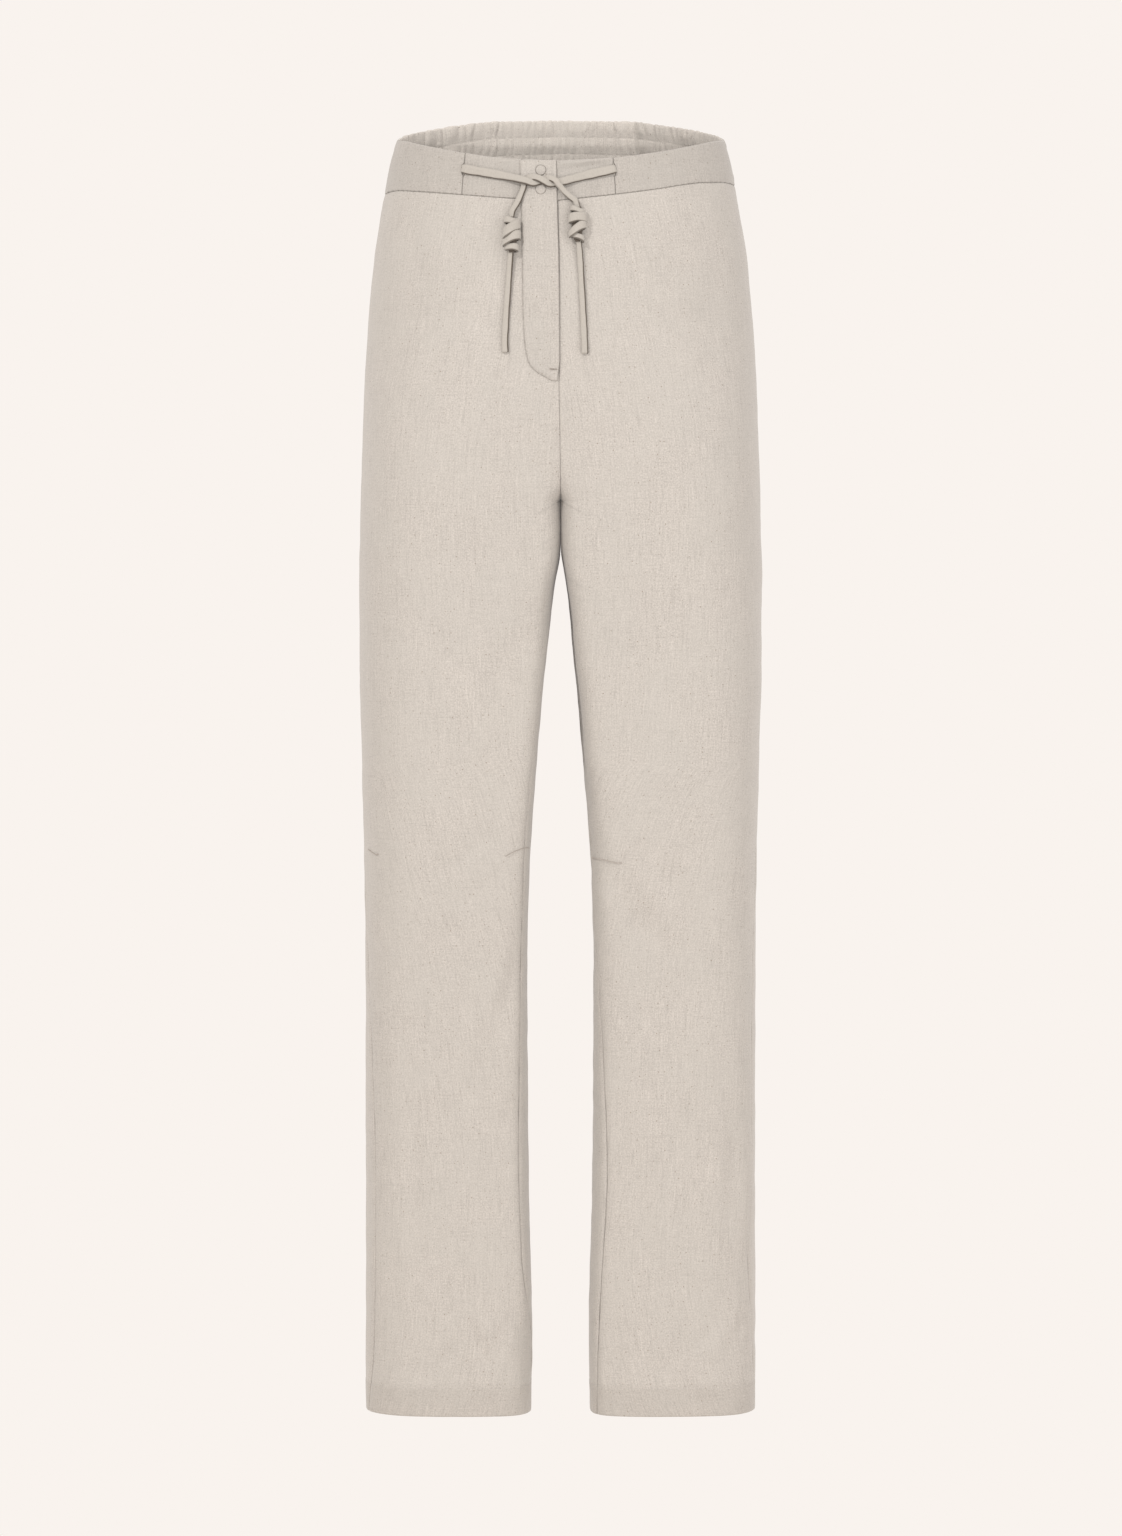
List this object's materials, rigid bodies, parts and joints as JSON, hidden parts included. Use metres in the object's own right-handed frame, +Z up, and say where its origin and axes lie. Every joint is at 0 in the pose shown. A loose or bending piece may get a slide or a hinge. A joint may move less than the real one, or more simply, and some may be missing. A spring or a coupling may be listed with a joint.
{
  "type": "straight-leg drawstring trousers",
  "caption": "Full-length straight-leg trousers, filled out as worn, with a shaped front band, gathered elastic back band, snap fly placket and a knotted drawstring.",
  "frame": {"origin": "in the middle of the waist opening, 20 mm below the band's top edge at the side seams; where the trousers are held by a body's waist", "axes": "+Z up, +X to the wearer's left, +Y to the wearer's back; the front faces -Y"},
  "size_m": [0.3368, 0.2498, 1.0845],
  "materials": {
    "cloth": "matte heathered plain weave",
    "cord": "matte soft tape",
    "snap": "matte, tone on tone with the cloth"
  },
  "bodies": {
    "root": {"front_right": "cloth", "front_left": "cloth", "back_right": "cloth", "back_left": "cloth", "band_front_right": "cloth", "band_inner_right": "cloth", "band_inner_left": "cloth", "band_front_left": "cloth", "band_back": "cloth", "fly_placket": "cloth", "snap_upper": "snap", "snap_lower": "snap", "cord_right": "cord", "cord_left": "cord", "tail_right": "cord", "tail_left": "cord", "knot_right": "cord", "knot_left": "cord"}
  },
  "joints": []
}
